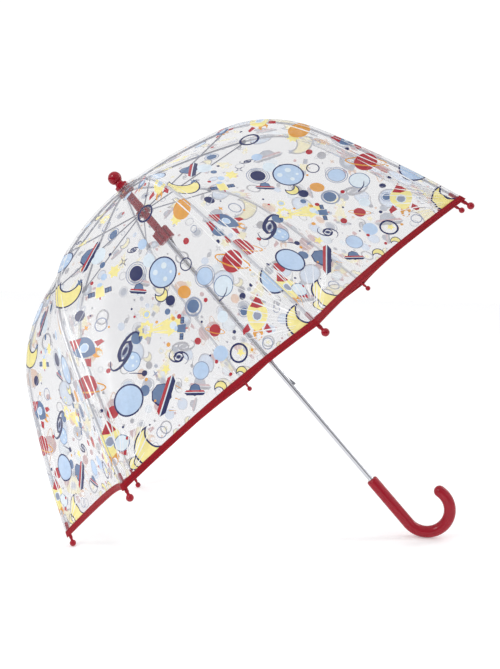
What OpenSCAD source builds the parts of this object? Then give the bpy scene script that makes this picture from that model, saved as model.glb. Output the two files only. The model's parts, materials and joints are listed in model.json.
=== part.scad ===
// Children's dome umbrella, open, lying on two rib tips and the hook of its handle.
// Every module draws its piece in the umbrella's own frame: the shaft is the Z axis,
// the film's top is at z = 0 and the handle is below. lie() turns that frame over
// onto the floor, z = 0 of the part, with the part's box centred in X and Y.

/* [Dome] */
// Number of ribs and of film gores
rib_count = 8; // [8:8]
// Radius of the arc at the dome's top, along a rib
top_arc_r = 170; // [140:5:200]
// Slope of the dome where the top arc ends, in degrees
top_arc_end = 13; // [11:0.5:14]
// Radius of the flatter arc round the top
upper_arc_r = 900; // [700:20:1100]
// Slope of the dome where the upper arc ends, in degrees
upper_arc_end = 22.5; // [21:0.5:24]
// Radius of the dome's shoulder arc
shoulder_arc_r = 195; // [180:1:210]
// Slope of the dome where the shoulder arc ends, in degrees
shoulder_arc_end = 62; // [60:0.5:64]
// Radius of the flatter arc down to the rim
rim_arc_r = 1400; // [1200:20:1600]
// Slope of the dome at the rim, in degrees
rim_slope = 70; // [69:0.1:71]
// How far the middle of a gore dips towards the shaft, as a share of its distance
gore_dip = 0.076; // [0:0.004:0.09]
// Thickness of the film
film_t = 0.6; // [0.4:0.1:0.8]

/* [Hem] */
// Width of the hem binding
hem_w = 7.5; // [5:0.5:10]
// How far the hem binding stands proud of the film
hem_proud = 0.5; // [0.2:0.1:0.8]
// Rise of the hem between two ribs
hem_rise = 5; // [4:1:14]

/* [Ribs] */
// Diameter of a rib
rib_d = 2.6; // [2:0.1:2.8]
// Depth of a rib's centre line below the film's outer face
rib_drop = 4.2; // [4.2:0.1:5]
// Distance of the joint with the stretcher from the axis
joint_r = 177; // [160:1:190]
// Diameter of a stretcher
stretcher_d = 1.7; // [1.6:0.1:2.2]
// Sideways distance between a stretcher's outer eye and its rib
stretcher_side = 4.2; // [4.2:0.1:5]
// Diameter of a rivet or hinge wire
pin_d = 1.2; // [1:0.1:1.4]
// Diameter of a rib tip's ball
tip_ball_d = 8.5; // [7:0.5:10]
// Distance from the hem to the centre of a rib tip's ball
tip_reach = 9.5; // [9:0.5:15]

/* [Shaft and handle] */
// Outside diameter of the shaft
shaft_d = 8; // [8:8]
// Wall of the shaft
shaft_wall = 0.8; // [0.8:0.8]
// Depth of the handle's top edge below the film's top
handle_top = 526; // [500:1:560]
// Length of the handle's straight grip
grip_len = 78; // [70:1:110]
// Diameter of the handle's tube
grip_d = 16; // [14:0.5:18]
// Radius of the hook's centre line
hook_r = 31.3; // [28:0.1:36]
// Angle that the hook sweeps, in degrees
hook_sweep = 195; // [180:5:220]
// Diameter of the ferrule's ball and of its base
ferrule_d = 19; // [14:1:20]
// Height of the ferrule above the film
ferrule_h = 29.5; // [24:0.5:34]

/* [Runner] */
// Depth of the runner's top edge when the umbrella is open
runner_top = 29; // [27:1:32]
// Length of the runner
runner_len = 65; // [65:65]
// Diameter of the slotted ring
ring_d = 20; // [19:0.5:21]
// Diameter over the lobes of the finger flange
flange_d = 25; // [24:0.5:28]
// Travel of the runner from open to closed
runner_travel = 289.7; // [280:0.1:300]

/* [Hidden] */
$fn = 48;
SINGLES = ["shaft", "handle", "ferrule", "canopy_washer", "crown", "crown_wire",
    "runner", "runner_wire", "top_catch", "bottom_catch"];
GROUPS = ["rib_inner", "rib_outer", "stretcher", "rib_tip", "canopy", "hem"];

RED = [0.72, 0.09, 0.14];
STEEL = [0.75, 0.76, 0.78];
GREY = [0.55, 0.56, 0.58];
FILM = [0.86, 0.88, 0.92, 0.35];

gap = 0.3;
half_gore = 180 / rib_count;
first_rib = half_gore;
function rib_angle(i) = first_rib + (i - 1) * 360 / rib_count;

// The dome along a rib is four arcs that meet smoothly: [radius, slope where it ends].
ARCS = [[top_arc_r, top_arc_end], [upper_arc_r, upper_arc_end],
    [shoulder_arc_r, shoulder_arc_end], [rim_arc_r, rim_slope]];
function arc_start(k) = k == 0 ? 0 : ARCS[k - 1][1];
function arc_centre(k) = k == 0 ? [0, top_arc_r] : arc_centre(k - 1)
    + (ARCS[k - 1][0] - ARCS[k][0]) * [sin(arc_start(k)), -cos(arc_start(k))];
function arc_of(a, k = 0) = k == 3 || a <= ARCS[k][1] ? k : arc_of(a, k + 1);

// The point of the dome where its slope is a, as [distance from the axis, depth below
// the top]. drop moves the point inward, square to the film.
function dome(a, drop = 0) = let (k = arc_of(a))
    arc_centre(k) + (ARCS[k][0] - drop) * [sin(a), -cos(a)];

// The slope of the dome at distance r from the axis
function slope_at(r, drop = 0, k = 0) =
    let (a = asin(min(1, (r - arc_centre(k)[0]) / (ARCS[k][0] - drop))))
    k == 3 || a <= ARCS[k][1] ? a : slope_at(r, drop, k + 1);

// The sheet of each half gore meets its rib square to this turn from the rib's plane
gore_flat = pow(cos(half_gore), 2) * (1 - gore_dip);
gore_turn = atan2(1 - gore_flat, tan(half_gore) * gore_flat);

// Places along a rib
hinge_slope = slope_at(9, rib_drop);
joint_slope = slope_at(joint_r, rib_drop);
hinge = dome(hinge_slope, rib_drop);
joint = dome(joint_slope, rib_drop);
rim = dome(rim_slope, rib_drop);
ball = [rim[0] + tip_reach * cos(rim_slope), rim[1] + tip_reach * sin(rim_slope)];
eye_r = 2;
eye_t = 1.8;
slot_w = rib_d + 0.6;

// Places along the shaft
film_hole_r = 8;
crown_top = hinge[1] - 2.6;
crown_bottom = hinge[1] + 3.6;
shaft_top = -13;
shaft_socket = 50;
ring_top = runner_top + 9;
ring_bottom = runner_top + 17;
flange_top = runner_top + 47;
runner_bottom = runner_top + runner_len;
notch = [8, (ring_top + ring_bottom) / 2];
catch_len = 24;
top_catch_z = runner_bottom + gap;
bottom_catch_z = runner_travel + runner_top + 41;

// Resting on the floor: the lean at which two tip balls and the hook touch it
ball_low = ball[0] * cos(half_gore);
hook_depth = handle_top + grip_len;
hook_out = hook_r + grip_d / 2;
lean_a = hook_depth - ball[1];
lean_b = hook_r + ball_low;
lean = atan2(lean_b, lean_a)
    + asin((tip_ball_d / 2 - hook_out) / sqrt(lean_a * lean_a + lean_b * lean_b));
lift = ball_low * cos(lean) + ball[1] * sin(lean) + tip_ball_d / 2;
film_points = [for (a = [0:0.5:rim_slope]) dome(a)];
x_low = min([for (p = film_points)
    p[1] * cos(lean) - (p[0] * cos(half_gore)) * sin(lean)]);
x_high = hook_r * sin(lean) + hook_depth * cos(lean) + hook_out;

module lie() {
    translate([-(x_low + x_high) / 2, 0, lift]) rotate([0, lean - 90, 0]) children();
}

// Turns [distance, depth] drawings into the plane of rib i, with depth downward
module at_rib(i) {
    rotate([0, 0, rib_angle(i)]) children();
}

module disc(r, top, bottom) {
    translate([0, 0, -bottom]) cylinder(r = r, h = bottom - top);
}

module tube(r_out, r_in, top, bottom) {
    difference() {
        disc(r_out, top, bottom);
        disc(r_in, top - 1, bottom + 1);
    }
}

// A round rod along the dome from slope a to slope b, with a thin sleeve over each place
// where two arcs meet
module dome_rod(a, b, d) {
    for (k = [0:3]) {
        from = max(a, arc_start(k));
        to = min(b, ARCS[k][1]);
        if (from < to)
            translate([arc_centre(k)[0], 0, -arc_centre(k)[1]]) rotate([90, 0, 0])
                rotate([0, 0, 90 - to]) rotate_extrude(angle = to - from, $fn = 180)
                    translate([ARCS[k][0] - rib_drop, 0]) circle(d = d, $fn = 24);
        if (from < to && to < b)
            translate([dome(to, rib_drop)[0], 0, -dome(to, rib_drop)[1]])
                rotate([0, 90 + to, 0]) translate([0, 0, -1]) cylinder(d = d + 0.1, h = 2);
    }
}

// A flat round eye, square to the rib's plane, at p = [distance, depth]
module eye(p, r, from_y, to_y) {
    translate([p[0], to_y, -p[1]]) rotate([90, 0, 0]) cylinder(r = r, h = to_y - from_y);
}

// Eight radial slots, open outward from r_in, for rib or stretcher eyes
module hub_slots(r_in, top, bottom) {
    for (i = [1:rib_count]) at_rib(i)
        translate([r_in, -slot_w / 2, -bottom]) cube([20, slot_w, bottom - top]);
}

// A groove for the hinge wire, open downward
module wire_groove(at, depth_to) {
    w = pin_d / 2 + 0.05;
    rotate_extrude() {
        translate([at[0], -at[1]]) circle(r = w, $fn = 24);
        translate([at[0] - w, -depth_to]) square([2 * w, depth_to - at[1]]);
    }
}

module hinge_wire(at) {
    rotate_extrude() translate([at[0], -at[1]]) circle(d = pin_d, $fn = 24);
}

module shaft() color(STEEL) lie() {
    bore = shaft_d / 2 - shaft_wall;
    difference() {
        tube(shaft_d / 2, bore, shaft_top, handle_top + shaft_socket);
        for (z = [top_catch_z - gap, bottom_catch_z - catch_len])
            translate([0, -1.1, -z - catch_len - gap]) cube([10, 2.2, catch_len + gap]);
    }
    for (z = [top_catch_z + catch_len - 3, bottom_catch_z - catch_len + 3])
        translate([0.3, bore + 0.4, -z]) rotate([90, 0, 0])
            cylinder(d = 1, h = 2 * bore + 0.8, $fn = 24);
}

// A blade with a tooth that stands out of the shaft, pivoted on a cross pin
module catch_blade() {
    rotate([90, 0, 0]) difference() {
        translate([0, 0, -0.7]) linear_extrude(1.4)
            polygon([[0, 0], [6.6, 0], [6.6, -1.2], [3, -18], [1.9, -23], [-1.3, -23], [-1.3, -18]]);
        translate([0.3, 3 - catch_len, -1]) cylinder(d = 1.1, h = 2, $fn = 24);
    }
}

module top_catch() color(GREY) lie() translate([0, 0, -top_catch_z]) catch_blade();

module bottom_catch() color(GREY) lie() translate([0, 0, -bottom_catch_z])
    mirror([0, 0, 1]) catch_blade();

module handle() color(RED) lie() {
    difference() {
        rotate_extrude() {
            translate([0, -hook_depth]) square([grip_d / 2, grip_len - 3]);
            translate([0, -handle_top - 3]) square([grip_d / 2 - 3, 3]);
            translate([grip_d / 2 - 3, -handle_top - 3]) intersection() {
                circle(3);
                square(3);
            }
        }
        disc(shaft_d / 2, handle_top - 1, handle_top + shaft_socket);
    }
    translate([hook_r, 0, -hook_depth]) rotate([90, 0, 0]) {
        rotate([0, 0, 180]) rotate_extrude(angle = hook_sweep, $fn = 96)
            translate([hook_r, 0]) circle(d = grip_d);
        rotate([0, 0, 180 + hook_sweep]) translate([hook_r, 0, 0]) sphere(d = grip_d);
    }
}

module ferrule() color(RED) lie() {
    r = ferrule_d / 2;
    neck = 5.7;
    base_h = 5;
    flare_h = 6;
    difference() {
        rotate_extrude() {
            translate([0, ferrule_h - r]) intersection() {
                circle(r);
                translate([0, -r]) square([r, 2 * r]);
            }
            translate([0, 1.5]) square([neck, ferrule_h - r - 3]);
            difference() {
                translate([0, 1.5]) square([r, base_h + flare_h - 1.5]);
                translate([r + 1.6, base_h + flare_h + 1.2]) circle(r - neck + 1.6);
            }
        }
        disc(shaft_d / 2, shaft_top, 1);
    }
}

module canopy_washer() color(RED) lie() tube(10, shaft_d / 2, -1.5, -gap);

module crown() color(RED) lie() difference() {
    union() {
        disc(11.5, crown_top, crown_bottom);
        disc(6, crown_bottom - 1, runner_top - gap);
    }
    disc(shaft_d / 2, 0, runner_top);
    hub_slots(6.6, 0, crown_bottom + 1);
    wire_groove(hinge, crown_bottom + 1);
}

module crown_wire() color(GREY) lie() hinge_wire(hinge);

module runner() color(RED) lie() difference() {
    union() {
        disc(6.5, runner_top, ring_top + 1);
        disc(ring_d / 2, ring_top, ring_bottom);
        disc(5.6, ring_bottom - 1, flange_top + 1);
        translate([0, 0, -runner_bottom]) linear_extrude(runner_bottom - flange_top) {
            circle(flange_d / 2 - 4);
            for (i = [1:rib_count]) rotate(rib_angle(i))
                translate([flange_d / 2 - 2.6, 0]) circle(2.6);
        }
    }
    disc(shaft_d / 2 + 0.2, runner_top - 1, runner_bottom + 1);
    hub_slots(5.7, ring_top - 1, ring_bottom + 1);
    wire_groove(notch, ring_bottom + 1);
    // window for the bottom catch's tooth
    translate([0, -1.4, -runner_top - 42]) cube([8, 2.8, 22]);
}

module runner_wire() color(GREY) lie() hinge_wire(notch);

// One ear of the joint clip at the end of an inner rib, on side s, with the rivet's head
module clip_ear(s) {
    clip_r = 1.8;
    from_y = s > 0 ? 1.1 : -2;
    eye(joint, clip_r, from_y, from_y + 0.9);
    eye(joint, 1.1, s > 0 ? 1.5 : -2.4, s > 0 ? 2.4 : -1.5);
    translate([joint[0], 0, -joint[1]]) rotate([0, joint_slope, 0])
        translate([-8, from_y, -clip_r]) cube([8, 0.9, 2 * clip_r]);
}

module rib_inner(i) color(GREY) lie() at_rib(i) {
    difference() {
        union() {
            eye(hinge, eye_r, -eye_t / 2, eye_t / 2);
            dome_rod(hinge_slope + 0.1, slope_at(joint_r - 4.6, rib_drop), rib_d);
        }
        eye(hinge, pin_d / 2 + 0.12, -4, 4);
    }
    clip_ear(-1);
    clip_ear(1);
    eye(joint, pin_d / 2, -1.3, 1.3);
}

module rib_outer(i) color(STEEL) lie() at_rib(i) {
    difference() {
        union() {
            // a flat tongue between the clip's ears
            eye(joint, 1.8, -eye_t / 2, eye_t / 2);
            translate([joint[0], 0, -joint[1]]) rotate([0, joint_slope, 0])
                translate([0, -eye_t / 2, -0.9]) cube([8, eye_t, 1.8]);
            dome_rod(slope_at(joint_r + 4, rib_drop), rim_slope, rib_d);
        }
        eye(joint, pin_d / 2 + 0.05, -4, 4);
    }
}

module stretcher(i) color(GREY) lie() at_rib(i) {
    run = sqrt(pow(joint[0] - notch[0], 2) + pow(joint[1] - notch[1], 2));
    tilt = atan2(notch[1] - joint[1], joint[0] - notch[0]);
    side = atan2(stretcher_side, run);
    difference() {
        union() {
            eye(notch, eye_r, -eye_t / 2, eye_t / 2);
            eye(joint, 1.6, stretcher_side - 0.9, stretcher_side + 0.9);
            translate([notch[0], 0, -notch[1]]) rotate([0, -tilt, side])
                rotate([0, 90, 0]) cylinder(d = stretcher_d, h = run / cos(side));
        }
        eye(notch, pin_d / 2 + 0.12, -4, 4);
        eye(joint, pin_d / 2 + 0.05, stretcher_side - 4, stretcher_side + 4);
    }
}

// A sleeve over the rib's end, a neck and a ball
module rib_tip(i) color(RED) lie() at_rib(i) {
    sleeve = 19;
    translate([rim[0], 0, -rim[1]]) rotate([0, 180 - (90 - rim_slope), 0]) difference() {
        union() {
            translate([0, 0, -sleeve]) cylinder(d = 4.4, h = sleeve + 3);
            translate([0, 0, 2.9]) cylinder(d = 3.4, h = tip_reach - 2.9);
            translate([0, 0, tip_reach]) sphere(d = tip_ball_d);
        }
        translate([0, 0, -sleeve - 1]) cylinder(d = rib_d + 0.4, h = sleeve + 1);
    }
}

// A strip along half a gore between two slopes: flat across, curved along the gore.
// near and far are how deep its outer and inner faces lie below the film's outer face.
module gore_strip(from, to, near, far) {
    steps = 22;
    flat = cos(gore_turn);
    slopes = [for (k = [0:steps]) from + (to - from) * k / steps];
    outer = [for (a = slopes) let (p = dome(a, near)) [p[0] * flat, -p[1]]];
    inner = [for (k = [steps:-1:0]) let (p = dome(slopes[k], far)) [p[0] * flat, -p[1]]];
    rotate([90, 0, 0]) translate([0, 0, -200]) linear_extrude(400) polygon(concat(outer, inner));
}

// The half of a gore that lies beside rib i, on its side s. The halves on either side of
// a rib are separate sheets, welded to each other there, and so are neighbouring halves
// at the middle of a gore.
weld_gap = 0.04;
mid_gap = 0.12;
module half_gore_piece(i, s, from, to, near, far) {
    edge = mid_gap / 2 / sin(half_gore);
    intersection() {
        rotate([0, 0, rib_angle(i) + s * gore_turn]) gore_strip(from, to, near, far);
        rotate([0, 0, rib_angle(i)]) translate([0, s * weld_gap / 2, -450]) linear_extrude(500)
            polygon([[edge, 0], [500, 0], [500, s * (500 - edge) * tan(half_gore)]]);
    }
}

// The arched edge of a gore: everything above a wide cylinder square to the gore, which
// crosses the ribs at the rim, raised by raise
gore_half_w = dome(rim_slope)[0] * sin(half_gore);
arch_r = (gore_half_w * gore_half_w + hem_rise * hem_rise) / (2 * hem_rise);
module above_arch(i, s, raise) {
    depth = dome(rim_slope)[1] - raise;
    rotate([0, 0, rib_angle(i) + s * half_gore]) difference() {
        translate([0, -200, -depth - 20]) cube([500, 400, depth + 40]);
        translate([-1, 0, -depth + hem_rise - arch_r]) rotate([0, 90, 0])
            cylinder(r = arch_r, h = 600, $fn = 360);
    }
}

module canopy(i) color(FILM) lie() {
    inner_slope = slope_at(film_hole_r);
    for (s = [-1, 1]) intersection() {
        half_gore_piece(i, s, inner_slope, rim_slope, 0, film_t);
        above_arch(i, s, hem_w);
    }
}

module hem(i) color(RED) lie() {
    for (s = [-1, 1]) difference() {
        intersection() {
            half_gore_piece(i, s, rim_slope - 1.2, rim_slope, -hem_proud, film_t);
            above_arch(i, s, 0);
        }
        above_arch(i, s, hem_w);
    }
}

shaft();
handle();
ferrule();
canopy_washer();
crown();
crown_wire();
runner();
runner_wire();
top_catch();
bottom_catch();
for (i = [1:rib_count]) {
    rib_inner(i);
    rib_outer(i);
    stretcher(i);
    rib_tip(i);
    canopy(i);
    hem(i);
}
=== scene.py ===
import json
import math
import random

import bpy
import numpy as np
from mathutils import Matrix, Vector
from mathutils.geometry import delaunay_2d_cdt


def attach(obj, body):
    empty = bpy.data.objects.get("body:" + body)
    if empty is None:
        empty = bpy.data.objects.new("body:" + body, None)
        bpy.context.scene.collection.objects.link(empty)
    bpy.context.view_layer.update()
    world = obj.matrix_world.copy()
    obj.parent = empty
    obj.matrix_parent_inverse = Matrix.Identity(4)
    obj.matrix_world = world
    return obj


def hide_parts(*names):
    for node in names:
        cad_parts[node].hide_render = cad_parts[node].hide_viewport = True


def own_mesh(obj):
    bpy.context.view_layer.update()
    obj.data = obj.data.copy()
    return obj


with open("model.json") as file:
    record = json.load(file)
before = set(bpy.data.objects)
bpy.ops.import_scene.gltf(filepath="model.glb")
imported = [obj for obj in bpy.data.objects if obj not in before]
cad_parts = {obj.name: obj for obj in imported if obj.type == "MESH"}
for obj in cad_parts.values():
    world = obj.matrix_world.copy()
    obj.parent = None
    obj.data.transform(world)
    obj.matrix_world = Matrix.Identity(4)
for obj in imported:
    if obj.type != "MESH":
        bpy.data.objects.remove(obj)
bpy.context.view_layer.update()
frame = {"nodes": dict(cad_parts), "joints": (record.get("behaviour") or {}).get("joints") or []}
random.seed(7)

# ---------------------------------------------------------------- the umbrella's frame
JOINTS = {j["name"]: j for j in frame["joints"]}
DOWN = Vector(JOINTS["runner_slide"]["axis"]).normalized()
OUT = Vector((-DOWN.z, 0, DOWN.x))
SIDE = Vector((0, 1, 0))
HALF = math.radians(22.5)  # half the angle between two ribs
RIBS = range(1, 9)

# Sizes in millimetres, as in the CAD. The dome along a rib: (radius, slope where the arc ends)
ARCS = [(170, 13), (900, 22.5), (195, 62), (1400, 70)]
DIP = 0.076  # how far a gore's middle dips between its ribs, as a share of its radius
FILM_HOLE = 8  # radius of the hole at the top
JOINT_R = 177  # distance from the axis of the joint in each rib
HINGE_R = 9  # and of the hinge at its inner end
RIB_DROP = 4.2  # depth of a rib below the film
HEM_W = 7.5  # width of the binding
HEM_RISE = 5  # height of the hem's arch between two ribs
SEW_LOW, SEW_HIGH = 1.7, 6.1  # the two rows of stitches, up from the hem's lower edge
SEAM = 3.4  # half width of the welded strip over a rib
WELD_EDGE = 0.8  # width of the pressed line along the strip's edge
WELD_MID = 0.7  # and of the one along its middle
MESH_STEP = 7.0  # distance between the film's own mesh points
PRINT_GAP = 0.00012  # distance in metres from the film to the white under its prints


def dome_points():
    """Points (distance from the axis, depth) down the dome along a rib."""
    points = []
    centre = np.array([0.0, ARCS[0][0]])
    start = 0.0
    for k, (radius, end) in enumerate(ARCS):
        if k:
            a = math.radians(start)
            centre = centre + (ARCS[k - 1][0] - radius) * np.array([math.sin(a), -math.cos(a)])
        for a in np.radians(np.arange(start, end + 0.01, 0.1)):
            points.append(centre + radius * np.array([math.sin(a), -math.cos(a)]))
        start = end
    return np.array(points)


DOME = dome_points()
MID_R = DOME[:, 0] * math.cos(HALF) * (1 - DIP)
STEP = np.hypot(np.diff(MID_R), np.diff(DOME[:, 1]))
RUN = np.concatenate([[0], np.cumsum(STEP)])  # distance from the top along a gore's middle
RIM = float(RUN[-1])
JOINT_RUN = float(np.interp(JOINT_R, DOME[:, 0], RUN))
HOLE_RUN = float(np.interp(FILM_HOLE, DOME[:, 0], RUN))


def rib_r(s):
    """Distance of a rib's film from the axis, at run s."""
    return float(np.interp(s, RUN, DOME[:, 0]))


def half_width(s):
    """Half the width of a gore at run s."""
    return rib_r(s) * math.sin(HALF)


hinges = [Vector(JOINTS[f"rib_{i}_hinge"]["pos_m"]) for i in RIBS]
hinge_depth = ARCS[0][0] - math.sqrt((ARCS[0][0] - RIB_DROP) ** 2 - HINGE_R**2)
TOP = sum(hinges, Vector()) / 8 - DOWN * hinge_depth / 1000


def place(x, y, depth):
    """A point of the umbrella's own frame, in mm, in the shared frame in metres."""
    return TOP + (OUT * x + SIDE * y + DOWN * depth) / 1000


def edge_run(w):
    """Where the hem's lower edge crosses w: it rises in an arch between two ribs."""
    return RIM - HEM_RISE * (1 - (w / half_width(RIM)) ** 2)


def wrinkle(w, s):
    """Depth of the film's wrinkles in mm: folds that fan out of a rib's tip, soft waves down
    the gore and short pulls beside the seam. It is zero on the seams and over the hem."""
    hw = half_width(s)
    u = max(0.0, hw - abs(w))
    dx, dy = half_width(RIM) - abs(w), RIM - s
    rho = math.hypot(dx, dy)
    theta = math.atan2(dx, dy + 1e-6)
    fan = 1.9 * math.exp(-rho / 95) * (1 - math.exp(-rho / 14)) * math.sin(17 * theta + 0.6)
    soft = 0.7 * math.sin(s / 27 + 1.3) * math.sin(math.pi * min(1, abs(w) / max(hw, 1)))
    pull = 0.5 * math.sin(s / 9.0) * math.exp(-u / 9)
    above_hem = edge_run(w) - HEM_W - s
    return (fan + soft + pull) * min(1, u / 9) * min(1, max(0, above_hem / 10))


def film_point(mid, w, s):
    """Point of the gore whose middle is at azimuth mid, w across and s down from the top."""
    r, t = rib_r(s), float(np.interp(s, RUN, DOME[:, 1]))
    hw = max(r * math.sin(HALF), 1e-6)
    fx = r * math.cos(HALF) * (1 - DIP * (1 - min(1, (w / hw) ** 2))) - wrinkle(w, s)
    ca, sa = math.cos(mid), math.sin(mid)
    return place(fx * ca - w * sa, fx * sa + w * ca, t)


# ---------------------------------------------------------------- materials
def lin(*rgb):
    """A colour's linear values from its usual 0 to 255 ones."""
    return tuple((c / 255 / 12.92) if c < 10.3 else ((c / 255 + 0.055) / 1.055) ** 2.4 for c in rgb)


def material(name, colour, rough, metallic=0.0, alpha=1.0, coat=0.0, vary=0.05, grain=400.0,
             bump=0.05, bump_grain=None, sheen=0.0, spec=0.5):
    """A Principled material with mottled colour, uneven roughness and a fine bump."""
    m = bpy.data.materials.new(name)
    m.use_nodes = True
    nt = m.node_tree
    b = nt.nodes["Principled BSDF"]
    b.inputs["Metallic"].default_value = metallic
    b.inputs["Alpha"].default_value = alpha
    b.inputs["Coat Weight"].default_value = coat
    b.inputs["Coat Roughness"].default_value = 0.06
    b.inputs["Sheen Weight"].default_value = sheen
    b.inputs["Specular IOR Level"].default_value = spec
    coords = nt.nodes.new("ShaderNodeTexCoord")
    noise = nt.nodes.new("ShaderNodeTexNoise")
    noise.inputs["Scale"].default_value = grain
    noise.inputs["Detail"].default_value = 4
    nt.links.new(coords.outputs["Object"], noise.inputs["Vector"])
    ramp = nt.nodes.new("ShaderNodeValToRGB")
    ramp.color_ramp.elements[0].position = 0.3
    ramp.color_ramp.elements[1].position = 0.7
    ramp.color_ramp.elements[0].color = (*[c * (1 - vary) for c in colour], 1)
    ramp.color_ramp.elements[1].color = (*[min(1, c * (1 + vary)) for c in colour], 1)
    nt.links.new(noise.outputs["Fac"], ramp.inputs["Fac"])
    nt.links.new(ramp.outputs["Color"], b.inputs["Base Color"])
    spread = nt.nodes.new("ShaderNodeMapRange")
    spread.inputs["To Min"].default_value = max(0.02, rough * 0.75)
    spread.inputs["To Max"].default_value = min(1, rough * 1.25)
    nt.links.new(noise.outputs["Fac"], spread.inputs["Value"])
    nt.links.new(spread.outputs["Result"], b.inputs["Roughness"])
    if bump:
        fine = nt.nodes.new("ShaderNodeTexNoise")
        fine.inputs["Scale"].default_value = bump_grain or grain * 2
        fine.inputs["Detail"].default_value = 3
        nt.links.new(coords.outputs["Object"], fine.inputs["Vector"])
        node = nt.nodes.new("ShaderNodeBump")
        node.inputs["Strength"].default_value = bump
        node.inputs["Distance"].default_value = 0.001
        nt.links.new(fine.outputs["Fac"], node.inputs["Height"])
        nt.links.new(node.outputs["Normal"], b.inputs["Normal"])
    m.diffuse_color = (*colour, alpha)
    return m


RED = lin(170, 15, 34)


def glow(m, strength):
    """Gives a material a little white light of its own."""
    shader = m.node_tree.nodes["Principled BSDF"]
    shader.inputs["Emission Color"].default_value = (1, 1, 1, 1)
    shader.inputs["Emission Strength"].default_value = strength


def film_finish(name, colour, rough, alpha, grain, bump=0.25, bump_grain=45):
    return material(name, colour, rough, alpha=alpha, grain=grain, bump=bump, bump_grain=bump_grain)


def print_ink(name, colour, alpha):
    return material(name, colour, 0.22, alpha=alpha, grain=300, spec=0.25, bump=0.25, bump_grain=45)


INKS = {
    "film": film_finish("film_clear", lin(176, 176, 182), 0.1, 0.21, 60),
    "seam": film_finish("film_seam", lin(238, 239, 244), 0.08, 0.42, 120),
    "weld": film_finish("film_weld", lin(178, 180, 188), 0.2, 0.42, 900, bump=0.5, bump_grain=2500),
    # painted highlight: white strokes that stand for shine on the film's folds and along its seams
    "painted_highlight": film_finish("film_painted_highlight", lin(253, 254, 255), 0.12, 0.75, 120),
    "red": print_ink("ink_red", lin(178, 22, 42), 0.92),
    "yellow": print_ink("ink_yellow", lin(250, 236, 140), 0.8),
    "pale": print_ink("ink_pale_blue", lin(180, 208, 240), 0.8),
    "spot": print_ink("ink_ice", lin(222, 236, 246), 0.8),
    "slate": print_ink("ink_slate_blue", lin(76, 108, 152), 0.88),
    "navy": print_ink("ink_navy", lin(30, 38, 92), 0.96),
    "orange": print_ink("ink_orange", lin(226, 154, 40), 0.86),
    "grey": print_ink("ink_grey", lin(140, 150, 175), 0.85),
}
INK_NAMES = list(INKS)
PRINTS = [k for k, m in enumerate(INKS.values()) if m.name.startswith("ink_")]
underbase = material("white_underbase", lin(254, 254, 252), 0.4, alpha=0.4, grain=900, vary=0.03,
                     bump=0.1, spec=0.2)
# painted light: the white under the prints glows a little, in place of light shining through the
# film from behind
glow(underbase, 0.22)

chrome = material("chromed_tube", lin(206, 207, 212), 0.05, metallic=1, grain=900, vary=0.04,
                  bump=0.02)
plastic = material("red_gloss_plastic", lin(160, 12, 36), 0.24, coat=0.25, grain=140, vary=0.07,
                   bump=0.06, bump_grain=600, spec=0.25)
tip_plastic = material("red_tip_plastic", lin(163, 12, 36), 0.2, coat=0.3, grain=260, vary=0.06,
                       bump=0.05, bump_grain=900, spec=0.25)
hub_plastic = material("red_hub_plastic", lin(150, 8, 28), 0.28, coat=0.2, grain=200, vary=0.06,
                       bump=0.05, bump_grain=700, spec=0.25)
wire = material("galvanised_wire", lin(168, 170, 178), 0.32, metallic=0.9, grain=1500, vary=0.1,
                bump=0.08, bump_grain=3000)
dark_wire = material("stretcher_wire", lin(150, 152, 162), 0.34, metallic=0.9, grain=1500,
                     vary=0.12, bump=0.08, bump_grain=3000)
fibre = material("fibreglass_rib", lin(206, 208, 214), 0.4, grain=1800, vary=0.06, bump=0.12,
                 bump_grain=2600)
spring = material("spring_steel", lin(150, 152, 160), 0.25, metallic=1, grain=1800, vary=0.08,
                  bump=0.05)
thread = material("hem_thread", lin(120, 16, 30), 0.7, grain=3000, vary=0.15, bump=0.4, sheen=0.3)
binding = material("hem_binding", RED, 0.6, grain=2200, vary=0.14, bump=0.6, bump_grain=2600,
                   sheen=0.03, spec=0.2)


def woven(m, scale):
    """Adds the cross ribs of a grosgrain tape to a material's bump."""
    nt = m.node_tree
    uv = nt.nodes.new("ShaderNodeUVMap")
    wave = nt.nodes.new("ShaderNodeTexWave")
    wave.inputs["Scale"].default_value = scale
    nt.links.new(uv.outputs["UV"], wave.inputs["Vector"])
    first = next(n for n in nt.nodes if n.type == "BUMP")
    extra = nt.nodes.new("ShaderNodeBump")
    extra.inputs["Strength"].default_value = 0.7
    extra.inputs["Distance"].default_value = 0.0004
    nt.links.new(wave.outputs["Fac"], extra.inputs["Height"])
    nt.links.new(first.outputs["Normal"], extra.inputs["Normal"])
    nt.links.new(extra.outputs["Normal"], nt.nodes["Principled BSDF"].inputs["Normal"])


woven(binding, 0.32)

FINISH = {"shaft": chrome, "handle": plastic, "ferrule": plastic, "canopy_washer": plastic,
          "crown": hub_plastic, "runner": hub_plastic, "crown_wire": spring,
          "runner_wire": spring, "top_catch": spring, "bottom_catch": spring}
for i in RIBS:
    FINISH.update({f"rib_inner_{i}": wire, f"rib_outer_{i}": fibre, f"stretcher_{i}": dark_wire,
                   f"rib_tip_{i}": tip_plastic})
for name, finish in FINISH.items():
    node = frame["nodes"][name]
    node.data.materials.clear()
    node.data.materials.append(finish)
    for p in node.data.polygons:
        p.use_smooth = True
    mod = node.modifiers.new("edges", "EDGE_SPLIT")
    mod.split_angle = math.radians(35)

# ---------------------------------------------------------------- the printed artwork
# Shapes lie in a gore's own flat coordinates: w across, s down from the top, in mm. A shape
# is an ink and polygons whose overlaps are holes. Later shapes lie over earlier ones.
SHAPES = []


def paint(ink, *polygons):
    SHAPES.append((ink, [np.array(p, float) for p in polygons]))


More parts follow.
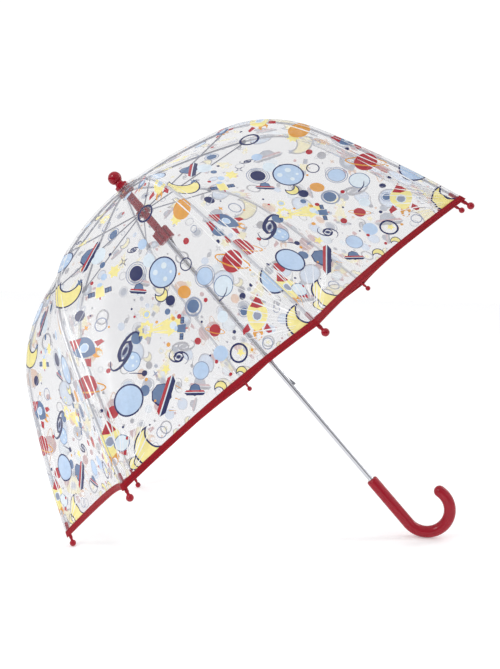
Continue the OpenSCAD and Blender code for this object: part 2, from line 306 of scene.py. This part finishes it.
def circle(w, s, rx, ry=None, turn=0.0, a0=0.0, a1=360.0):
    """Points of a circle, an ellipse or an arc of one, with more points on a bigger one."""
    ry = rx if ry is None else ry
    n = max(8, min(30, int(6 + 2.2 * rx * abs(a1 - a0) / 360)))
    ends = np.linspace(a0, a1, n, endpoint=abs(a1 - a0) < 359.9)
    c, d = math.cos(math.radians(turn)), math.sin(math.radians(turn))
    return [(w + rx * math.cos(a) * c - ry * math.sin(a) * d,
             s + rx * math.cos(a) * d + ry * math.sin(a) * c) for a in np.radians(ends)]


def moved(points, w, s, turn, size=1.0):
    c, d = math.cos(math.radians(turn)), math.sin(math.radians(turn))
    return [(w + size * (x * c - y * d), s + size * (x * d + y * c)) for x, y in points]


def draw(ink, w, s, turn, size, *polygons):
    """Paints polygons of a motif's own unit square at (w, s), turned and scaled."""
    paint(ink, *[moved(polygon, w, s, turn, size) for polygon in polygons])


def dot(ink, w, s, r):
    paint(ink, circle(w, s, r))


def ring(ink, w, s, r, line=1.4):
    paint(ink, circle(w, s, r), circle(w, s, r - line))


def planet(w, s, r, fill, edge=None, line=1.6, spots=()):
    if edge:
        paint(edge, circle(w, s, r))
        dot(fill, w, s, r - line)
    else:
        dot(fill, w, s, r)
    for x, y, q in spots:
        dot("spot", w + x * r, s + y * r, q * r)


def ringed(w, s, r, fill, hoop, turn, stripe=None):
    dot(fill, w, s, r)
    if stripe:
        draw(stripe, w, s, turn, r, [(-0.95, -0.3), (0.95, -0.3), (0.98, -0.14), (-0.98, -0.14)])
    paint(hoop, circle(w, s, 1.85 * r, 0.5 * r, turn), circle(w, s, 1.7 * r, 0.36 * r, turn))
    paint(fill, circle(w, s, 0.97 * r, 0.97 * r, turn, 180, 360))


def crescent(w, s, size, turn, line=1.8):
    """A yellow moon with a navy outline, open towards its own +x."""
    def lune(r, q, d):
        x = (d * d + r * r - q * q) / (2 * d)
        y = math.sqrt(max(0.01, r * r - x * x))
        a, b = math.degrees(math.atan2(y, x)), math.degrees(math.atan2(y, x - d))
        outer = circle(0, 0, r, a0=a, a1=360 - a)
        inner = circle(d, 0, q, a0=360 - b, a1=b)
        return outer + inner[1:-1]
    r = size / 2
    paint("navy", moved(lune(r, 0.7 * r, 0.72 * r), w, s, turn))
    paint("yellow", moved(lune(r - line, 0.7 * r + line, 0.72 * r), w, s, turn))


def box(x0, x1, y0, y1):
    return [(x0, y0), (x1, y0), (x1, y1), (x0, y1)]


def ufo(w, s, size, turn, rays=False):
    """A saucer with a round cabin, and three rays below it."""
    at = (w, s, turn, size)
    draw("navy", *at, circle(0, -0.1, 0.27))
    draw("slate", *at, circle(0.01, -0.11, 0.235))
    if rays:
        ray = [(-0.012, -0.1), (0.014, -0.1), (0.004, 0.12)]
        for x, y, lean in ((-0.28, 0.3, -14), (0.0, 0.36, 0), (0.26, 0.28, 15)):
            draw("orange", *at, moved(ray, x, y, lean))
    draw("red", *at, [(-0.5, 0.02), (-0.4, -0.08), (0.4, -0.08), (0.5, 0.02)])
    draw("spot", *at, [(-0.5, 0.0), (0.5, 0.0), (0.47, 0.04), (-0.47, 0.04)])
    draw("navy", *at, [(-0.5, 0.03), (0.5, 0.03), (0.38, 0.14), (-0.38, 0.14)])


def rocket(w, s, size, turn, fill, port="pale"):
    """A rocket that points towards its own -y."""
    at = (w, s, turn, size)
    length = [k / 10 for k in range(11)]
    hull = [(0.245 * math.sin(math.pi * t**0.9) ** 0.75, -0.4 + 0.7 * t) for t in length]
    hull += [(-x, y) for x, y in hull[-2:0:-1]]
    draw("orange", *at, circle(0.02, 0.33, 0.12, 0.15), circle(0.03, 0.4, 0.06, 0.09))
    for q in (-1, 1):
        draw("red", *at, [(q * 0.22, 0.12), (q * 0.34, 0.26), (q * 0.32, 0.37), (q * 0.15, 0.26)])
    draw(fill, *at, hull)
    draw("red", *at, [(0, -0.5), (0.17, -0.24), (0, -0.2), (-0.17, -0.24)])
    draw("spot", *at, circle(0, -0.04, 0.12))
    draw(port, *at, circle(0, -0.04, 0.095))


def stroke(path, widths):
    """A closed band along a path, with a width at each point."""
    p = np.array(path, float)
    t = np.gradient(p, axis=0)
    n = np.stack([-t[:, 1], t[:, 0]], 1) / np.hypot(t[:, 0], t[:, 1])[:, None]
    q = np.array(widths, float)[:, None] / 2
    return [tuple(v) for v in p + n * q] + [tuple(v) for v in (p - n * q)[::-1]]


def galaxy(w, s, size, turn, flat=0.42):
    """Two curling arms round a ringed eye."""
    at = (w, s, turn, size)
    steps = 14
    for start in (0, 180):
        path, widths = [], []
        for k in range(steps + 1):
            a = math.radians(start + 235 * k / steps)
            r = 0.14 + 0.4 * (k / steps) ** 1.1
            path.append((r * math.cos(a), r * math.sin(a) * flat))
            widths.append(0.1 * (1 - k / steps) ** 0.8 + 0.012)
        draw("navy", *at, stroke(path, widths))
    draw("navy", *at, circle(0, 0, 0.25, 0.25 * flat * 1.25), circle(0, 0, 0.2, 0.2 * flat * 1.1))
    draw("grey", *at, circle(0, 0, 0.15, 0.15 * flat))
    draw("navy", *at, circle(0, 0, 0.1, 0.1 * flat))


def star(ink, w, s, r, points=5, inner=0.42, turn=-90.0, hollow=0.0):
    angles = np.radians(turn + 180 * np.arange(2 * points) / points)

    def outline(q):
        reach = [q * (1 if k % 2 == 0 else inner) for k in range(2 * points)]
        return [(w + c * math.cos(a), s + c * math.sin(a)) for c, a in zip(reach, angles)]

    paint(ink, outline(r), *([outline(r * hollow)] if hollow else []))


def comet(w, s, size, turn):
    """A five-pointed star with a streaming tail, towards its own -x."""
    at = (w, s, turn, size)
    for y, q, length in ((-0.17, 0.06, 0.52), (0.0, 0.1, 0.66), (0.17, 0.06, 0.46)):
        draw("yellow", *at, [(0.1, y - q), (-length, y * 0.3), (0.1, y + q)])
    x, y = moved([(0.22, 0)], *at)[0]
    dot("orange", *moved([(-0.28, -0.2)], *at)[0], 0.045 * size)
    star("yellow", x, y, 0.34 * size, inner=0.55, turn=turn - 20)
    dot("spot", x, y, 0.11 * size)


def satellite(w, s, size, turn, fill="yellow"):
    """A boxy satellite with two panels and a dish."""
    at = (w, s, turn, size)
    for q in (-1, 1):
        draw("navy", *at, box(q * 0.22, q * 0.52, -0.1, 0.1))
        draw("slate", *at, box(q * 0.25, q * 0.36, -0.07, 0.07))
        draw("slate", *at, box(q * 0.39, q * 0.49, -0.07, 0.07))
    draw(fill, *at, [(-0.17, -0.24), (0.17, -0.24), (0.2, 0.2), (-0.2, 0.2)])
    draw("pale", *at, circle(0, -0.3, 0.13, 0.09))
    draw("red", *at, box(-0.03, 0.03, 0.2, 0.3))


# (x, y, radius) of a planet's spots, as shares of its own radius
MOON_SPOTS = ((-0.4, -0.35, 0.18), (0.3, -0.3, 0.2), (-0.1, 0.45, 0.15), (0.45, 0.35, 0.1))
# crown and shoulder
ringed(-4, 62, 6.5, "slate", "grey", -24)
star("yellow", 9, 84, 5)
dot("red", -14, 88, 2.2)
ring("grey", -12, 104, 4.5)
galaxy(16, 106, 22, 20)
crescent(-16, 128, 22, -60)
dot("navy", 34, 131, 5)
ufo(2, 140, 26, 12)
star("orange", 24, 122, 3.4)
dot("pale", -38, 122, 5)
dot("orange", 42, 112, 2)
ring("navy", -50, 140, 3.2, 1)
comet(-9, 162, 30, 62)
ring("grey", -6, 190, 7.5)
planet(33, 160, 8, "pale", "navy", 1.2, MOON_SPOTS)
galaxy(-50, 166, 20, 64)
comet(-44, 180, 15, 20)
dot("grey", 14, 172, 2.6)
rocket(60, 172, 34, 24, "slate")
star("navy", 40, 186, 5, 4, 0.3, hollow=0.6)
dot("red", 22, 196, 2.4)
planet(-75, 186, 16.5, "pale", "navy", 1.6, MOON_SPOTS)
dot("orange", 6, 122, 1.6)
# shoulder to middle
planet(-28, 229, 11, "spot", None, 1, MOON_SPOTS)
ufo(-38, 219, 44, -38)
ring("grey", 0, 217, 9, 1.2)
dot("slate", 0, 217, 6.5)
dot("navy", 60, 207, 1.8)
dot("slate", -28, 246, 4)
dot("navy", -14, 241, 2)
ring("navy", 49, 232, 12, 2.8)
rocket(84, 214, 48, 34, "yellow")
crescent(-79, 241, 42, -50)
star("slate", -62, 243, 6, 4, 0.35)
ringed(-79, 282, 6.5, "navy", "grey", -28)
satellite(-46, 275, 30, 26)
dot("red", -49, 257, 2.4)
dot("pale", -33, 262, 4.2)
star("yellow", -19, 266, 9, 6, 0.6)
star("navy", -4, 265, 7, 4, 0.22, hollow=0.55)
galaxy(14, 262, 20, 34)
dot("pale", 27, 265, 6.5)
star("yellow", 78, 274, 8, 7, 0.6)
dot("orange", 91, 270, 12.5)
ring("grey", 2, 289, 14, 1.1)
ring("grey", 2, 289, 11.4, 1)
dot("navy", 2, 289, 9)
ufo(-7, 308, 24, 45)
planet(23, 288, 8, "spot")
planet(29, 312, 18.5, "pale", "navy", 1.7, MOON_SPOTS)
ring("grey", -64, 309, 8.3, 1.5)
rocket(-92, 320, 47, -28, "slate")
dot("red", 73, 304, 4)
ring("grey", 89, 300, 4.4, 0.8)
ring("navy", 57, 325, 7.8, 1.3)
rocket(117, 324, 44, -34, "slate")
star("orange", -80, 300, 4, 4, 0.4)
dot("navy", -25, 320, 1.4)
dot("navy", -69, 291, 1.3)
dot("orange", -58, 318, 1.5)
# middle
crescent(13, 332, 17, -82, 1.2)
dot("navy", 18, 345, 6)
paint("orange", circle(37, 349, 8.6, 7.2, 60))
dot("slate", 8, 353, 3.6)
ring("grey", 67, 352, 12.8, 1)
planet(67, 352, 10.6, "pale", "grey", 1)
ring("grey", 36, 370, 11, 2.2)
dot("slate", 36, 369, 7.6)
planet(78, 376, 12, "spot", "slate", 0.9, MOON_SPOTS)
paint("navy", stroke([(64, 386), (70, 386), (76, 384), (81, 380)], [1.6, 1.5, 1.2, 0.6]))
ringed(103, 362, 12.6, "red", "orange", 56, "spot")
ringed(-113, 358, 13, "red", "orange", 42, "spot")
dot("slate", -38, 352, 7)
planet(-57, 370, 11, "pale", "slate", 0.9, MOON_SPOTS)
galaxy(-57, 355, 54, -24)
dot("red", -84, 360, 2.8)
dot("navy", -52, 391, 3.4)
paint("navy", stroke([(-66, 379), (-60, 384), (-54, 390)], [0.6, 1.0, 1.6]))
dot("orange", -54, 398, 2)
star("yellow", -24, 352, 11, 8, 0.72, hollow=0.55)
planet(-14, 338, 4.6, "pale", "yellow", 1.4)
comet(-3, 366, 40, 28)
dot("orange", -12, 384, 2.6)
dot("orange", 9, 364, 2.4)
satellite(11, 380, 24, -52, "slate")
dot("red", 16, 367, 2.8)
dot("red", 52, 374, 2.6)
dot("navy", 103, 333, 2.6)
dot("navy", 104, 397, 2.2)
dot("navy", 89, 400, 3.8)
dot("navy", -112, 392, 2.2)
dot("red", -118, 318, 3)
# lower band
dot("slate", -62, 407, 6)
dot("red", -103, 402, 7)
planet(-82, 403, 17.6, "pale", "navy", 1.9)
galaxy(-10, 403, 26, 40, flat=0.7)
star("grey", -42, 400, 5, 4, 0.25)
star("yellow", -29, 404, 6, 5, 0.5)
dot("red", 18, 404, 4)
ringed(41, 408, 6.8, "red", "orange", 50)
planet(57, 402, 6.5, "spot")
ufo(-46, 427, 46, -36, True)
planet(2, 432, 10, "pale", "grey", 1)
planet(31, 432, 8.6, "pale")
ufo(-17, 446, 25, 38)
ring("grey", 80, 414, 6.4, 0.9)
dot("slate", 80, 414, 4.4)
rocket(88, 429, 50, 38, "yellow", "grey")
rocket(-122, 428, 50, 22, "yellow", "grey")
planet(131, 409, 18, "pale", "navy", 1.8)
planet(-112, 436, 9, "spot", "slate", 0.9)
crescent(-86, 461, 44, -30)
ring("grey", -71, 456, 6.4, 1.1)
ring("navy", 48, 445, 10.8, 2.2)
star("yellow", 50, 446, 5, 5, 0.5)
ring("grey", 80, 458, 6.4, 1.1)
crescent(125, 463, 36, -20)
crescent(9, 461, 15, 150, 1)
crescent(38, 463, 13, 150, 0.9)
crescent(-112, 463, 14, 20, 1)
ring("grey", 111, 436, 4.2, 0.8)
for ink, w, s, r in (("navy", -102, 423, 1.4), ("navy", -77, 441, 1.1), ("navy", 58, 424, 2.2),
                     ("navy", 20, 426, 1.2), ("red", 22, 436, 2.2), ("orange", -58, 424, 1.4),
                     ("red", 27, 457, 2), ("orange", 62, 452, 1.8), ("red", -104, 436, 2),
                     ("navy", -124, 392, 1.4), ("navy", 34, 390, 1.4), ("orange", 114, 384, 1.6),
                     ("red", -27, 330, 1.6), ("orange", 44, 328, 1.6), ("navy", -24, 206, 1.6)):
    dot(ink, w, s, r)

# painted highlights: white streaks that fan out of the rib tips, where the film's folds shine
for q in (-1, 1):
    for k in range(9):
        a = math.radians(8 + 7.5 * k + random.uniform(-2, 2))
        near, far = random.uniform(14, 26), random.uniform(55, 120) * (1 - 0.05 * k)
        tip = half_width(RIM) - 3
        across = math.sin(a) + 0.24 * math.cos(a)
        ends = [(q * (tip - r * across), RIM - 4 - r * math.cos(a))
                for r in (near, (near + far) / 2, far)]
        paint("painted_highlight", stroke(ends, [0.25, random.uniform(0.9, 2.0), 0.15]))
    # glints along the seams: [start down the gore, length, distance from the seam]
    for s0, length, u in ((150, 80, 5.5), (236, 84, 8), (290, 100, 12), (340, 70, 6.5),
                          (352, 84, 18), (388, 56, 11)):
        ends = [(q * (half_width(s0 + length * t) - u - 1.5 * math.sin(3 * t)), s0 + length * t)
                for t in (0, 0.33, 0.66, 1)]
        paint("painted_highlight", stroke(ends, [0.2, 1.6, 1.3, 0.2]))


def inside(points, polygon):
    """Even-odd test of many points against one polygon."""
    x, y = points[:, 0], points[:, 1]
    hit = np.zeros(len(points), bool)
    px, py = polygon[:, 0], polygon[:, 1]
    for k in range(len(polygon)):
        x0, y0, x1, y1 = px[k - 1], py[k - 1], px[k], py[k]
        if y0 == y1:
            continue
        hit ^= ((y0 > y) != (y1 > y)) & (x < (x1 - x0) * (y - y0) / (y1 - y0) + x0)
    return hit


def chord(s, count):
    """Points across the gore at s, from seam to seam."""
    return np.linspace(-half_width(s), half_width(s), count)


def gore_layout():
    """Triangles of one flat gore, cut along every print's outline: (points, triangles, inks)."""
    points, edges = [], []

    def chain(path, closed=False):
        first = len(points)
        points.extend(Vector((float(a), float(b))) for a, b in path)
        edges.extend((first + k, first + k + 1) for k in range(len(path) - 1))
        if closed:
            edges.append((len(points) - 1, first))

    runs = np.linspace(HOLE_RUN, RIM, 74)
    for q in (-1, 1):
        for inset in (0, WELD_MID, SEAM - WELD_EDGE, SEAM):
            chain([(q * max(0.0, half_width(s) - inset), s) for s in runs
                   if half_width(s) > inset + 0.6 or inset == 0])
    chain([(w, edge_run(w)) for w in chord(RIM, 61)])
    chain([(w, edge_run(w) - HEM_W * 0.5) for w in chord(RIM, 31)])
    chain([(w, JOINT_RUN) for w in chord(JOINT_RUN, 21)])
    chain([(0, s) for s in runs])
    chain([(w, HOLE_RUN) for w in chord(HOLE_RUN, 5)])
    for ink, polygons in SHAPES:
        for polygon in polygons:
            chain(polygon, closed=True)
    for j, s in enumerate(np.arange(HOLE_RUN + 5, RIM, MESH_STEP)):
        for w in np.arange(-140 + (j % 2) * MESH_STEP / 2, 141, MESH_STEP):
            if abs(w) < half_width(s) - SEAM - 1:
                points.append(Vector((float(w), float(s))))
    verts, _, faces, _, _, _ = delaunay_2d_cdt(points, edges, [], 0, 1e-4)
    verts = np.array([tuple(v) for v in verts])
    faces = np.array([f for f in faces if len(f) == 3])
    c = verts[faces].mean(1)
    hw = np.interp(c[:, 1], RUN, DOME[:, 0]) * math.sin(HALF)
    a, b, d = verts[faces[:, 0]], verts[faces[:, 1]], verts[faces[:, 2]]
    area = np.abs((b[:, 0] - a[:, 0]) * (d[:, 1] - a[:, 1])
                  - (b[:, 1] - a[:, 1]) * (d[:, 0] - a[:, 0]))
    keep = (np.abs(c[:, 0]) < hw) & (c[:, 1] > HOLE_RUN) & (c[:, 1] < edge_run(c[:, 0]))
    keep &= area > 1e-5
    faces, c, hw = faces[keep], c[keep], hw[keep]
    inks = np.zeros(len(faces), int)
    for ink, polygons in SHAPES:
        hit = np.zeros(len(c), bool)
        for polygon in polygons:
            hit ^= inside(c, polygon)
        inks[hit] = INK_NAMES.index(ink)
    u = hw - np.abs(c[:, 0])
    bare = inks == INK_NAMES.index("film")
    inks[bare & (u < SEAM)] = INK_NAMES.index("seam")
    inks[(u < WELD_MID) | ((u < SEAM) & (u > SEAM - WELD_EDGE))] = INK_NAMES.index("weld")
    return verts, faces, inks


VERTS, FACES, FACE_INKS = gore_layout()


def add_mesh(name, verts, faces, materials, indices=None):
    mesh = bpy.data.meshes.new(name)
    mesh.from_pydata([tuple(v) for v in verts], [], faces)
    for m in materials:
        mesh.materials.append(m)
    if indices is not None:
        mesh.polygons.foreach_set("material_index", indices)
    mesh.polygons.foreach_set("use_smooth", [True] * len(mesh.polygons))
    obj = bpy.data.objects.new(name, mesh)
    bpy.context.scene.collection.objects.link(obj)
    mesh.update()
    return obj


def fold(obj, body):
    """Rides obj on a rib, with a mesh of its own."""
    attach(obj, body)
    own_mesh(obj)


def print_base(name, verts, printed):
    """The white layer just under the printed faces of a piece of film."""
    used = sorted({v for f in printed for v in f})
    shift = {v: k for k, v in enumerate(used)}
    below = []
    for p in (verts[v] for v in used):
        depth = (p - TOP).dot(DOWN) * 1000
        inwards = place(0, 0, depth + 60) - p
        below.append(p + inwards.normalized() * PRINT_GAP)
    return add_mesh(name, below, [[shift[v] for v in f] for f in printed], [underbase])


def film_piece(i, name, low, high, body):
    """The film round rib i from run low to run high: two half gores, joined at the seam."""
    centre = VERTS[FACES].mean(1)
    verts, faces, inks, seam = [], [], [], {}
    for q, mid in ((1, math.radians(45 * (i - 1))), (-1, math.radians(45 * i))):
        pick = (centre[:, 0] * q > 0) & (centre[:, 1] > low) & (centre[:, 1] < high)
        index = {}
        for f, ink in zip(FACES[pick], FACE_INKS[pick]):
            row = []
            for v in f:
                v = int(v)
                if v not in index:
                    w, s = VERTS[v]
                    on_seam = abs(abs(w) - half_width(s)) < 1e-3
                    key = round(float(s), 3)
                    if on_seam and key in seam:
                        index[v] = seam[key]
                    else:
                        index[v] = len(verts)
                        verts.append(film_point(mid, float(w), float(s)))
                        if on_seam:
                            seam[key] = index[v]
                row.append(index[v])
            if len(set(row)) == 3:
                faces.append(row)
                inks.append(int(ink))
    obj = add_mesh(name, verts, faces, list(INKS.values()), inks)
    printed = [f for f, ink in zip(faces, inks) if ink in PRINTS]
    fold(print_base(name.replace("film", "print_base"), verts, printed), body)
    fold(obj, body)
    return obj


def hem_frames(i, count):
    """Along the hem from the middle of one gore over rib i to the next: (point, up, normal)."""
    wide = half_width(RIM)
    frames = []
    for q, mid, ws in ((1, math.radians(45 * (i - 1)), np.linspace(0, wide, count)),
                       (-1, math.radians(45 * i), np.linspace(-wide, 0, count)[1:])):
        for w in ws:
            s = edge_run(w)
            p = film_point(mid, w, s)
            up = film_point(mid, w * half_width(s - 6) / half_width(s), s - 6) - p
            e = 1.0 if q * w < wide - 1 else -1.0
            along = (film_point(mid, w + q * e, edge_run(w + q * e)) - p) * q * e
            n = along.cross(up).normalized()
            if n.dot(p - place(0, 0, float(DOME[-1, 1]))) < 0:
                n = -n
            frames.append((p, up.normalized(), n))
    return frames


def ring_faces(base, count):
    """A tube's faces between the ring of points that starts at base and the next ring."""
    return [[base + j, base + (j + 1) % count, base + count + (j + 1) % count, base + count + j]
            for j in range(count)]


def hem_piece(i):
    """The folded binding tape: a closed band with a rolled lower edge and two sewn channels."""
    section = [(-0.5, 0.0), (-0.35, 0.75), (0.4, 1.0), (1.2, 0.85), (SEW_LOW, 0.55), (2.2, 0.85),
               (4.0, 1.0), (5.6, 0.85), (SEW_HIGH, 0.55), (6.6, 0.8), (7.2, 0.7), (HEM_W, 0.3)]
    section += [(u, -v) for u, v in section[::-1] if v > 0]
    frames = hem_frames(i, 62)
    verts, faces, uvs = [], [], []
    m = len(section)
    run = 0.0
    for k, (p, up, n) in enumerate(frames):
        if k:
            run += (p - frames[k - 1][0]).length * 1000
        puff = 1 + 0.06 * math.sin(k * 1.7) + 0.05 * math.sin(k * 0.63 + i)
        for u, v in section:
            verts.append(p + up * u / 1000 + n * v * puff / 1000)
            uvs.append((run, u))
    for k in range(len(frames) - 1):
        faces += ring_faces(k * m, m)
    faces.append(list(range(m)))
    faces.append([(len(frames) - 1) * m + j for j in reversed(range(m))])
    obj = add_mesh(f"hem_tape_{i}", verts, faces, [binding])
    layer = obj.data.uv_layers.new(name="UVMap")
    for loop in obj.data.loops:
        layer.data[loop.index].uv = uvs[loop.vertex_index]
    return obj


def stitches(i):
    """Two rows of thread, stitch by stitch, in the binding's sewn channels."""
    lift, bulge = 0.62 / 1000, 0.42 / 1000  # a stitch's ends off the film, its middle off those
    frames = hem_frames(i, 120)
    verts, faces = [], []
    for row in (SEW_LOW, SEW_HIGH):
        for k in range(1, len(frames) - 2, 3):
            (p0, u0, n0), (p1, u1, n1) = frames[k], frames[k + 2]
            for face in (1, -1):
                base = len(verts)
                a = p0 + u0 * row / 1000 + n0 * face * lift
                b = p1 + u1 * row / 1000 + n1 * face * lift
                mid = (a + b) / 2 + n0 * face * bulge
                for p, thick in ((a, 0.12), (mid, 0.26), (b, 0.12)):
                    up, out = u0 * thick / 1000, n0 * face * thick / 1000
                    verts.extend([p + up, p + out, p - up, p - out])
                faces += ring_faces(base, 4) + ring_faces(base + 4, 4)
                faces.append([base + 3, base + 2, base + 1, base])
                faces.append([base + 8, base + 9, base + 10, base + 11])
    obj = add_mesh(f"hem_thread_{i}", verts, faces, [thread])
    return obj


for i in RIBS:
    film_piece(i, f"film_inner_{i}", HOLE_RUN, JOINT_RUN, f"rib_inner_{i}")
    outer = film_piece(i, f"film_outer_{i}", JOINT_RUN, RIM + 1, f"rib_outer_{i}")
    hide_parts(f"canopy_{i}")
    hem = hem_piece(i)
    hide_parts(f"hem_{i}")
    for obj in (hem, stitches(i)):
        fold(obj, f"rib_outer_{i}")

# ---------------------------------------------------------------- floor, light, camera
paper = material("floor_paper", (0.9, 0.9, 0.9), 0.8, grain=3, vary=0.004, bump=0, spec=0.2)
glow(paper, 0.26)
floor = add_mesh("floor", [(-3, -1.1, 0), (3, -1.1, 0), (3, 4, 0), (-3, 4, 0)], [(0, 1, 2, 3)],
                 [paper])


def studio_world():
    """Plain white behind the object. The room that lights it and that its chrome mirrors is
    dark below the horizon, bright just over it, dimmer high up and behind the camera."""
    world = bpy.data.worlds.new("studio")
    world.use_nodes = True
    nodes, links = world.node_tree.nodes, world.node_tree.links

    def grey(value):
        return (value, value, value * 1.01, 1)

    def ramp(source, first, stops):
        """Brightness along source: first at 0, then (where, brightness) stops, and white at 1."""
        node = nodes.new("ShaderNodeValToRGB")
        node.color_ramp.elements[0].color = grey(first)
        for at, value in stops:
            node.color_ramp.elements.new(at).color = grey(value)
        links.new(source, node.inputs["Fac"])
        return node.outputs["Color"]

    plain = nodes["Background"]
    plain.inputs["Color"].default_value = (1, 1, 1, 1)
    plain.inputs["Strength"].default_value = 1.06
    coords = nodes.new("ShaderNodeTexCoord")
    split = nodes.new("ShaderNodeSeparateXYZ")
    links.new(coords.outputs["Generated"], split.inputs["Vector"])
    fade = nodes.new("ShaderNodeMapRange")
    fade.inputs["From Min"].default_value = -0.9
    fade.inputs["From Max"].default_value = -0.1
    links.new(split.outputs["Y"], fade.inputs["Value"])
    up_the_walls = ramp(split.outputs["Z"], 0.05,
                        ((0.08, 1.2), (0.18, 0.85), (0.5, 1.15), (0.62, 0.5)))
    front_to_back = ramp(fade.outputs["Result"], 0.42, ((0.5, 1),))
    shade = nodes.new("ShaderNodeVectorMath")
    shade.operation = "MULTIPLY"
    links.new(up_the_walls, shade.inputs[0])
    links.new(front_to_back, shade.inputs[1])
    room = nodes.new("ShaderNodeBackground")
    links.new(shade.outputs["Vector"], room.inputs["Color"])
    seen = nodes.new("ShaderNodeLightPath")
    mix = nodes.new("ShaderNodeMixShader")
    links.new(seen.outputs["Is Camera Ray"], mix.inputs["Fac"])
    links.new(room.outputs["Background"], mix.inputs[1])
    links.new(plain.outputs["Background"], mix.inputs[2])
    links.new(mix.outputs["Shader"], nodes["World Output"].inputs["Surface"])
    return world


bpy.context.scene.world = studio_world()


def softbox(name, place_at, aim, size, watts):
    light = bpy.data.lights.new(name, "AREA")
    light.shape = "RECTANGLE"
    light.size, light.size_y = size
    light.energy = watts
    obj = bpy.data.objects.new(name, light)
    bpy.context.scene.collection.objects.link(obj)
    obj.location = place_at
    obj.rotation_euler = (Vector(aim) - Vector(place_at)).to_track_quat("-Z", "Y").to_euler()


softbox("key", (-1.3, -1.7, 1.9), (0, 0, 0.25), (0.9, 0.6), 21)
softbox("rim", (1.6, 1.0, 1.7), (0, 0, 0.3), (0.5, 1.4), 10)

# The camera looks at TARGET from azimuth AZ, elevation EL and distance DIST, turned by ROLL
AZ, EL, ROLL = math.radians(10.96), math.radians(6.9), math.radians(0.595)
DIST = 1.243
TARGET = Vector((0.0004, 0, 0.2702))
back = Vector((math.sin(AZ) * math.cos(EL), -math.cos(AZ) * math.cos(EL), math.sin(EL)))
level = (-back).cross(Vector((0, 0, 1))).normalized()
upright = level.cross(-back)
right = level * math.cos(ROLL) + upright * math.sin(ROLL)
up = upright * math.cos(ROLL) - level * math.sin(ROLL)
facing = Matrix((right, up, back)).transposed().to_4x4()
camera = bpy.data.objects.new("camera", bpy.data.cameras.new("camera"))
camera.data.sensor_width = 36
camera.data.lens = 48.51
camera.matrix_world = Matrix.Translation(TARGET + back * DIST) @ facing
bpy.context.scene.collection.objects.link(camera)
bpy.context.scene.camera = camera
bpy.context.scene.view_settings.view_transform = "Standard"
